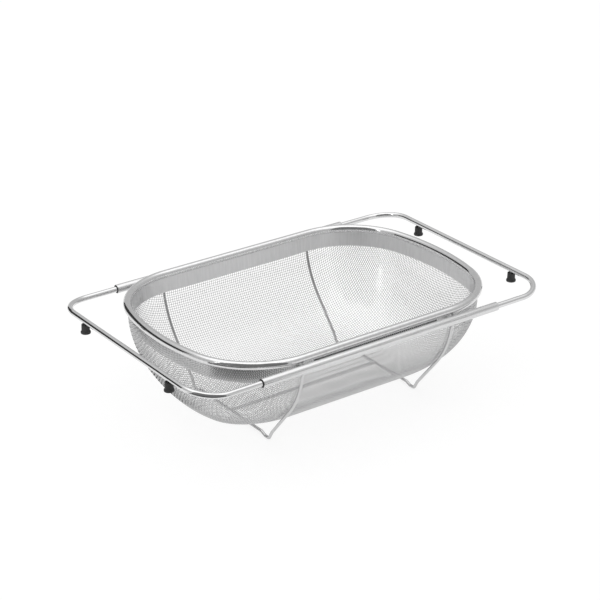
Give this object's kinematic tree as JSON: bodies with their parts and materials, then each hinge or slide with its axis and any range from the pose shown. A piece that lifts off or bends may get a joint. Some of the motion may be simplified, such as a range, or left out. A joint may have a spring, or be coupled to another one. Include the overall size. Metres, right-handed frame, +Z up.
{
  "type": "extendable mesh strainer",
  "caption": "Rounded rectangular woven-mesh strainer basket on wire feet, with U-shaped handle rods that slide out of side tubes to span a sink or bucket.",
  "frame": {"origin": "on the surface that the wire feet stand on, below the middle of the basket", "axes": "+X along the basket's long side towards the right handle, +Y towards the back side tube, +Z up"},
  "size_m": [0.402, 0.25, 0.1067],
  "materials": {
    "polished_steel": "bright polished stainless steel",
    "brushed_steel_tube": "satin stainless steel tube, polished lengthwise",
    "woven_mesh": "fine plain-woven stainless steel wire, slightly matt",
    "steel_wire": "drawn stainless steel wire with spot welds",
    "rubber": "matt black moulded rubber",
    "nylon": "dark moulded nylon"
  },
  "bodies": {
    "basket": {"rim_band": "polished_steel", "rim_core_wire": "steel_wire", "mesh_bowl": "woven_mesh", "front_side_tube": "brushed_steel_tube", "back_side_tube": "brushed_steel_tube", "left_front_tube_bush": "nylon", "left_back_tube_bush": "nylon", "right_front_tube_bush": "nylon", "right_back_tube_bush": "nylon", "left_leg_wire": "steel_wire", "right_leg_wire": "steel_wire", "base_tie_wire": "steel_wire"},
    "left_handle": {"left_handle_rod": "polished_steel", "left_front_rod_sleeve": "nylon", "left_front_foot_stud": "steel_wire", "left_front_rubber_cap": "rubber", "left_back_rod_sleeve": "nylon", "left_back_foot_stud": "steel_wire", "left_back_rubber_cap": "rubber"},
    "right_handle": {"right_handle_rod": "polished_steel", "right_front_rod_sleeve": "nylon", "right_front_foot_stud": "steel_wire", "right_front_rubber_cap": "rubber", "right_back_rod_sleeve": "nylon", "right_back_foot_stud": "steel_wire", "right_back_rubber_cap": "rubber"}
  },
  "joints": [
    {"name": "left_handle_slide", "type": "slide", "parent": "basket", "child": "left_handle", "axis": [-1, 0, 0], "range_m": [-0.025, 0.08]},
    {"name": "right_handle_slide", "type": "slide", "parent": "basket", "child": "right_handle", "axis": [1, 0, 0], "range_m": [-0.025, 0.08]}
  ]
}
